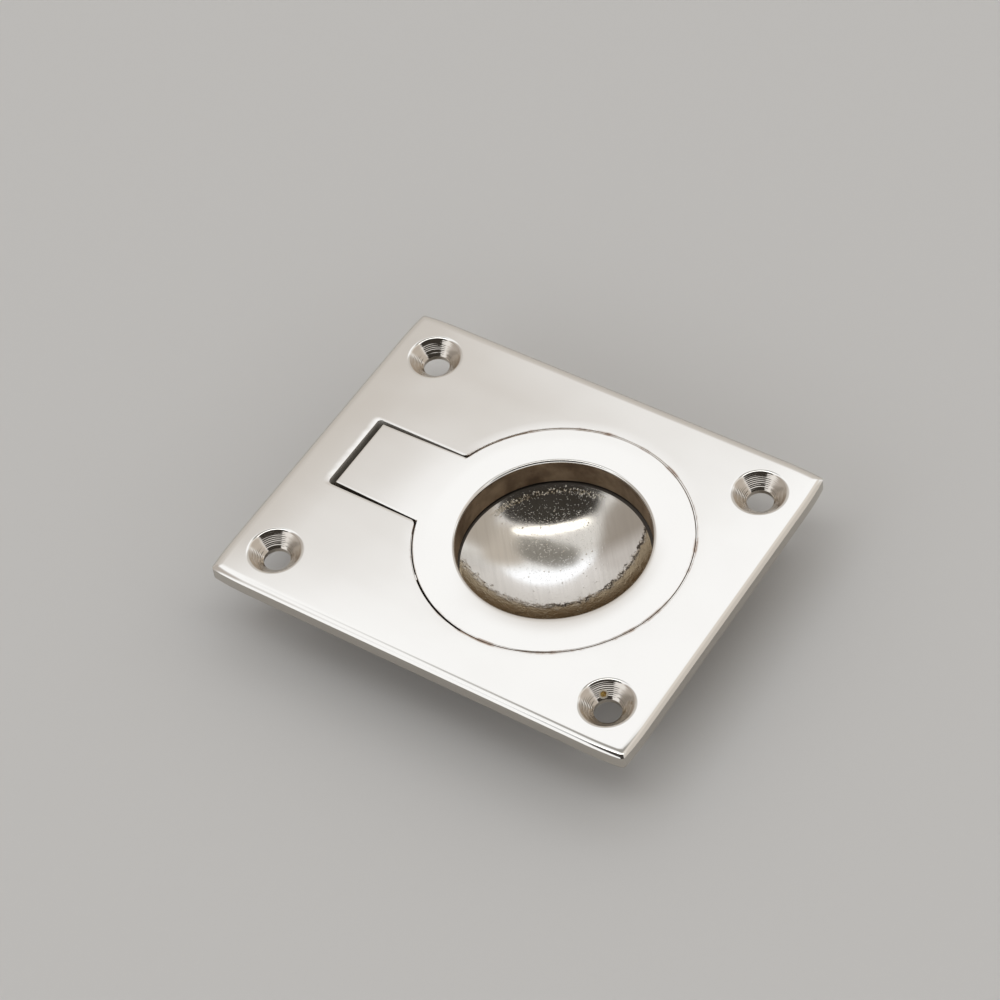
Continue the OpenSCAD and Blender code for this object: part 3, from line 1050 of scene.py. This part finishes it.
# polish that has dried in the top of the gap round the ring: a dull cream that closes the gap to a
# thin brown line, except for a stretch at the near side
def addResidue(material, shader, tree, place, colour, roughness, metallic):
    finish = residueFinish
    parts = axesOf(tree, place)
    centred = addNode(tree, "ShaderNodeMapping", Vector=place, Location=(-layout["ringX"], 0, 0)).outputs[0]
    clean = math.radians(finish["cleanSide"])
    towardsClean = dot(tree, centred, (math.cos(clean), math.sin(clean), 0))
    share = maths(tree, "DIVIDE", towardsClean, fromRing(tree, place))
    packed = remap(tree, share, 0.93, 0.98, 1.0, 0.1)
    packed = times(tree, packed, remap(tree, parts["Z"], finish["lowZ"], finish["highZ"]))
    packed = times(tree, packed, maths(tree, "GREATER_THAN", parts["X"], -12 * mm))
    packed = times(tree, packed, remap(tree, grain(tree, place, 1 / (2.5 * mm), 3), 0.3, 0.6, 0.55, 1.0))
    feed(shader, "Base Color", mixColour(tree, packed, colour, fromHex(finish["colour"])))
    feed(shader, "Metallic", remap(tree, packed, 0.0, 0.6, metallic, 0.0))
    feed(shader, "Roughness", remap(tree, packed, 0.0, 0.6, roughness, finish["roughness"]))
    return material


# polishing compound dried to a dull cream crust, browner at the ring's end of the plate
def driedPolish():
    finish = residueFinish
    material, shader, tree, place = startFinish("driedPolish", finish["colour"], finish["roughness"], 0.0)
    parts = axesOf(tree, place)
    beyond = remap(tree, parts["X"], 20 * mm, 23.4 * mm)
    patchy = remap(tree, grain(tree, place, 1 / (2.5 * mm), 3), 0.35, 0.65, 0.0, 0.5)
    brown = larger(tree, beyond, patchy)
    feed(shader, "Base Color", mixColour(tree, brown, fromHex(finish["colour"]), fromHex(finish["brown"])))
    feed(shader, "Normal", bump(tree, grain(tree, place, 1 / (0.3 * mm), 3), 0.01 * mm))
    return material


pocketFinish = {
    # painted shade: a dark colour for the pocket, the gap's walls and the bowl's rim cone under the ring
    "colour": "4A443D",
    "roughness": 0.5,
    "metallic": 0.7,
    "slotColour": "BEB8AE",
    "slotRoughness": 0.65,
    "slotMetallic": 0.05,
    "slotX": (-13 * mm, -11 * mm),
}


# inside the pocket the casting keeps its sand skin under a film of dried polish: dull, and painted dark as
# shade under the ring and down the gap round it
def pocketSkinAndPaintedShade():
    finish = pocketFinish
    roughness = finish["roughness"]
    metallic = finish["metallic"]
    material, shader, tree, place = startFinish("pocketSkinAndPaintedShade", finish["colour"], roughness, metallic)
    skin = grain(tree, place, 1 / (0.4 * mm), 4, 0.6)
    feed(shader, "Normal", bump(tree, skin, 0.02 * mm))
    # the slot's walls carry a thicker, paler film
    parts = axesOf(tree, place)
    inSlot = remap(tree, parts["X"], *finish["slotX"], 1.0, 0.0)
    colour = mixColour(tree, inSlot, fromHex(finish["colour"]), fromHex(finish["slotColour"]))
    roughness = remap(tree, inSlot, 0.0, 1.0, roughness, finish["slotRoughness"])
    metallic = remap(tree, inSlot, 0.0, 1.0, metallic, finish["slotMetallic"])
    return addResidue(material, shader, tree, place, colour, roughness, metallic)


wallFinish = {
    "colour": "A9A196",
    "roughness": 0.34,
    "lineWidth": 0.15 * mm,
    "lineHeight": 0.004 * mm,
    "stretch": (30, 30, 1),
}

edgeFinish = {
    "colour": "C9C3BA",
    "roughness": 0.2,
    "lineWidth": 0.12 * mm,
    "lineHeight": 0.004 * mm,
    "stretch": (50, 50, 1),
}

wireFinish = {
    "colour": "8F8E8C",
    "roughness": 0.28,
    "lineWidth": 0.08 * mm,
    "lineHeight": 0.002 * mm,
    "stretch": (1, 60, 1),
}


# a metal with fine lines that a tool has drawn along it
def linedMetal(name, finish):
    material, shader, tree, place = startFinish(name, finish["colour"], finish["roughness"])
    lines = grain(tree, place, 1 / finish["lineWidth"], 2, 0.6, stretch=finish["stretch"])
    feed(shader, "Normal", bump(tree, lines, finish["lineHeight"]))
    return material, shader, tree, place


# the ring's outside wall was filed and plated, not buffed: a satin grey
def filedWall():
    colour = fromHex(wallFinish["colour"])
    return addResidue(*linedMetal("filedWall", wallFinish), colour, wallFinish["roughness"], 1.0)


sinkFinish = {
    "colour": "CDC4B8",
    "rust": "7A541F",
    "rustLight": "B0934C",
    "halo": "C9BFAC",
    "roughness": 0.08,
    "linePitch": 0.17 * mm,
    "lineHeight": 0.004 * mm,
    "rustSpot": (23.79 * mm, -17.39 * mm, 1.11 * mm),
    "rustRadius": 0.42 * mm,
}


# countersinks turned by a cutter that chattered: bright, with rings of tool lines, and a spot of
# rust in the one at the near right
def turnedNickel():
    finish = sinkFinish
    material, shader, tree, place = startFinish("turnedNickel", finish["colour"], finish["roughness"])
    parts = axesOf(tree, place)
    x = minus(tree, sizeOf(tree, parts["X"]), layout["holeX"])
    y = minus(tree, sizeOf(tree, parts["Y"]), layout["holeY"])
    radius = hypotOf(tree, x, y)
    uneven = times(tree, grain(tree, place, 1 / (2.5 * mm), 1), 0.08 * mm)
    phase = times(tree, plus(tree, radius, uneven), 2 * math.pi / finish["linePitch"])
    lines = maths(tree, "SINE", phase)
    normal = bump(tree, lines, finish["lineHeight"])
    spot = addNode(tree, "ShaderNodeVectorMath", {"operation": "DISTANCE"}, n0=place, n1=finish["rustSpot"])
    spot = spot.outputs["Value"]
    blur = times(tree, grain(tree, place, 1 / (0.3 * mm), 3), 0.2 * mm)
    spot = plus(tree, spot, blur)
    size = finish["rustRadius"]
    rust = remap(tree, spot, size, 1.3 * size, 1.0, 0.0)
    halo = remap(tree, spot, 1.5 * size, 1.9 * size, 1.0, 0.0)
    normal = bump(tree, rust, -0.08 * mm, normal)
    feed(shader, "Normal", normal)
    colour = mixColour(tree, halo, fromHex(finish["colour"]), fromHex(finish["halo"]))
    mottle = remap(tree, grain(tree, place, 1 / (0.35 * mm), 2), 0.4, 0.6)
    rustColour = mixColour(tree, mottle, fromHex(finish["rust"]), fromHex(finish["rustLight"]))
    feed(shader, "Base Color", mixColour(tree, rust, colour, rustColour))
    feed(shader, "Roughness", remap(tree, spot, 1.3 * size, 1.9 * size, 0.6, finish["roughness"]))
    feed(shader, "Metallic", remap(tree, spot, 1.3 * size, 1.9 * size, 0.35, 1.0))
    return material


# the edge was drawn along a belt: a satin grey with lines that run round the plate
def linishedEdge():
    return linedMetal("linishedEdge", edgeFinish)[0]


backFinish = {
    "colour": "B3AA9C",
    "dark": "8E8272",
    "light": "BBB3A6",
    "roughness": 0.38,
}


# the back keeps the texture of the sand it was cast in, under the thin nickel that reached it
def sandCastBack():
    material, shader, tree, place = startFinish("sandCastBack", backFinish["colour"], backFinish["roughness"])
    coarse = grain(tree, place, 1 / (0.9 * mm), 4, 0.65)
    fine = grain(tree, place, 1 / (0.25 * mm), 3, 0.6)
    normal = bump(tree, coarse, 0.05 * mm)
    normal = bump(tree, fine, 0.012 * mm, normal)
    feed(shader, "Normal", normal)
    shade = remap(tree, grain(tree, place, 1 / (7 * mm), 4, 0.6), 0.35, 0.7)
    colour = mixColour(tree, shade, fromHex(backFinish["dark"]), fromHex(backFinish["light"]))
    feed(shader, "Base Color", colour)
    return material


# drawn steel wire, oiled: grey with faint lines along it
def drawnSteel():
    return linedMetal("drawnSteel", wireFinish)[0]


def paint(piece, material, test):
    pick(piece, "FACE", test)
    bpy.ops.object.mode_set(mode="OBJECT")
    piece.data.materials.append(material)
    piece.active_material_index = len(piece.data.materials) - 1
    bpy.ops.object.mode_set(mode="EDIT")
    bpy.ops.object.material_slot_assign()
    deselectAll()


def isBack(at, normal):
    return at.z < 0.4 * mm


def isEdge(at, normal):
    outside = abs(at.x) > plate["length"] / 2 - 1 * mm or abs(at.y) > plate["width"] / 2 - 1 * mm
    return outside and abs(normal.z) < 0.3


def isPocket(at, normal):
    inRound = ringDistance(at) < pocket["radius"] + 0.03 * mm
    inSlot = abs(at.y) < pocket["halfSlot"] + 0.03 * mm and pocket["slotEndX"] - 0.03 * mm < at.x < 0
    lowest = layout["pocketFloorZ"] - 0.4 * mm
    if inSlot and at.x < pocket["boxFrontX"]:
        lowest = -4.6 * mm
    return (inRound or inSlot) and lowest < at.z < layout["frontZ"] - 0.3 * mm


def isCrust(at, normal):
    onWall = crust["inRadius"] - 0.03 * mm < ringDistance(at) < pocket["radius"] + 0.03 * mm
    return onWall and crust["lowZ"] - 0.02 * mm < at.z < layout["frontZ"] - pocket["topRound"] - 0.01 * mm


def isBowl(at, normal):
    fromBall = math.hypot(ringDistance(at), at.z - casting["bowlCentreZ"])
    below = at.z < layout["pocketFloorZ"] - 0.2 * mm
    return near(fromBall, casting["bowlRadius"], 0.06 * mm) and below and normal.z > 0


def isSink(at, normal):
    return holeDistance(at) < screwHole["sinkRadius"] - 0.02 * mm and at.z < layout["frontZ"] - 0.1 * mm


castBack = sandCastBack()
for piece in (plateCasting, ringCasting, pinRod):
    piece.data.materials.clear()
plateCasting.data.materials.append(polishedNickel("polishedNickel"))
ringCasting.data.materials.append(polishedNickel("polishedRing", nickelFinish["ringLean"]))
paint(plateCasting, castBack, isBack)
paint(plateCasting, linishedEdge(), isEdge)
# the pocket, its gap walls and the bowl's rim cone are painted dark as shade under the ring
paint(plateCasting, pocketSkinAndPaintedShade(), isPocket)
paint(plateCasting, driedPolish(), isCrust)
paint(plateCasting, roughPolishedBowl(), isBowl)
paint(plateCasting, turnedNickel(), isSink)


def isUnderside(at, normal):
    return normal.z < -0.3 or at.z < layout["frontZ"] - 0.6 * mm


def isBore(at, normal):
    return ringDistance(at) < ring["holeRadius"] + 0.3 * mm and at.z < layout["frontZ"] - 0.45 * mm


def isOutside(at, normal):
    return ringDistance(at) > ring["holeRadius"] + 3 * mm and abs(normal.z) < 0.3


paint(ringCasting, castBack, isUnderside)
paint(ringCasting, filedWall(), isOutside)
paint(ringCasting, tarnishedBore(), isBore)
paint(pinRod, drawnSteel(), lambda at, normal: True)

for piece in (plateCasting, ringCasting, pinRod):
    makeActive(piece)
    bpy.ops.object.shade_smooth_by_angle(angle=math.radians(30))
    applyModifier(piece, "WEIGHTED_NORMAL", mode="FACE_AREA", weight=60, keep_sharp=True)

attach(plateCasting, "plate")
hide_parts("back_plate")
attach(ringCasting, "ring")
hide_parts("ring_pull")
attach(pinRod, "plate")
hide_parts("hinge_pin")

print("stage 8: floor, light and camera")
studio = {
    "floorColour": "D6D3CE",
    "floorZ": -8.5 * mm,
}

bpy.ops.mesh.primitive_plane_add(size=4, location=(0, 0, studio["floorZ"]))
floor = bpy.context.active_object
floor.name = "paleFloor"
floorMaterial, floorShader = newMaterial("palePaper")
floorShader.inputs["Base Color"].default_value = fromHex(studio["floorColour"])
floorShader.inputs["Roughness"].default_value = 0.8
floor.data.materials.append(floorMaterial)
applyPlace(floor)

# a white tent round the table. The polished metal mirrors all of it: greyer low down on the far
# side, dark where it opens overhead towards the camera, and a strip of light beyond the opening
tent = {
    "bright": (1.25, 1.30, 1.38, 1),
    "grey": (0.765, 0.745, 0.735, 1),
    "lowWall": (0.67, 0.65, 0.63, 1),
    "upperWall": (0.90, 0.90, 0.91, 1),
    "horizon": (0.58, 0.565, 0.55, 1),
    "panels": (
        # azimuth, degrees from straight up, half width, half height, corner power, fade, colour
        (-163, 56, 25, 22, 3, (0.4, 1.7), (0.57, 0.54, 0.52, 1)),     # a warm grey board at the left
        (52, 38, 16, 15, 3, (0.2, 1.9), (0.90, 0.87, 0.84, 1)),       # dimmer patches of tent at the right
        (30, 62, 20, 20, 3, (0.3, 1.8), (0.74, 0.71, 0.68, 1)),
        (104, 14, 21, 10, 3, (0.4, 1.7), (0.40, 0.40, 0.39, 1)),      # a small grey card overhead
        (-56, 25.5, 38, 17, 3, (0.8, 1.3), (0.062, 0.058, 0.054, 1)),
        (-44, 48, 40, 12, 4, (0.8, 1.2), (0.06, 0.055, 0.05, 1)),     # the room behind the camera
        (-52, 5.0, 28, 3.5, 4, (0.6, 1.6), (3.3, 3.35, 3.4, 1)),
    ),
}


def towards(azimuth, elevation):
    a = math.radians(azimuth)
    e = math.radians(elevation)
    return Vector((math.cos(a) * math.cos(e), math.sin(a) * math.cos(e), math.sin(e)))


def makeWorld():
    world = bpy.data.worlds.new("studioTent")
    bpy.context.scene.world = world
    world.use_nodes = True
    tree = world.node_tree
    direction = addNode(tree, "ShaderNodeTexCoord").outputs["Generated"]

    def along(vector):
        return dot(tree, direction, tuple(vector))

    # rises from under 1 to over 1 across the edge of an upright panel seen from the middle
    def panelEdge(azimuth, polar, halfWidth, halfHeight, power):
        middle = towards(azimuth, 90 - polar)
        sideways = towards(azimuth + 90, 0)
        depth = larger(tree, along(middle), 0.02)
        total = 0.0
        for axis, half in ((sideways, halfWidth), (middle.cross(sideways), halfHeight)):
            share = maths(tree, "DIVIDE", along(axis), depth)
            share = maths(tree, "DIVIDE", share, math.tan(math.radians(half)))
            total = plus(tree, total, maths(tree, "POWER", sizeOf(tree, share), power))
        return total

    height = along((0, 0, 1))
    # the far wall is greyer below the height that the flat of the plate mirrors, more so to the left
    level = plus(tree, height, times(tree, along(towards(220, 0)), -0.12))
    colour = mixColour(tree, remap(tree, level, 0.725, 0.80), tent["grey"], tent["bright"])
    colour = mixColour(tree, remap(tree, height, 0.50, 0.745), tent["lowWall"], colour)
    farSide = remap(tree, along(towards(130, 0)), 0.25, 0.5)
    colour = mixColour(tree, farSide, tent["bright"], colour)
    colour = mixColour(tree, times(tree, remap(tree, height, 0.86, 0.92), farSide), colour, tent["upperWall"])
    colour = mixColour(tree, remap(tree, height, 0.08, 0.34), tent["horizon"], colour)
    for azimuth, polar, halfWidth, halfHeight, power, (start, end), panelColour in tent["panels"]:
        outside = remap(tree, panelEdge(azimuth, polar, halfWidth, halfHeight, power), start, end)
        colour = mixColour(tree, outside, panelColour, colour)
    tree.links.new(colour, tree.nodes["Background"].inputs["Color"])


makeWorld()

camera = {
    "lens": 111.75,
    "place": (0.16222607, -0.19811269, 0.31428059),
    "right": (0.8371375453, 0.5376012551, -0.1009238364),
    "down": (0.3631468279, -0.6842100256, -0.6324405287),
    "forward": (-0.4090539227, 0.4927895407, -0.7680060917),
}

viewer = bpy.data.objects.new("viewer", bpy.data.cameras.new("viewer"))
bpy.context.scene.collection.objects.link(viewer)
viewer.data.lens = camera["lens"]
viewer.data.sensor_width = 36
viewer.data.clip_start = 0.01
axes = Matrix((camera["right"], [-v for v in camera["down"]], [-v for v in camera["forward"]])).transposed()
viewer.matrix_world = Matrix.Translation(Vector(camera["place"])) @ axes.to_4x4()
bpy.context.scene.camera = viewer

bpy.context.scene.view_settings.view_transform = "Standard"
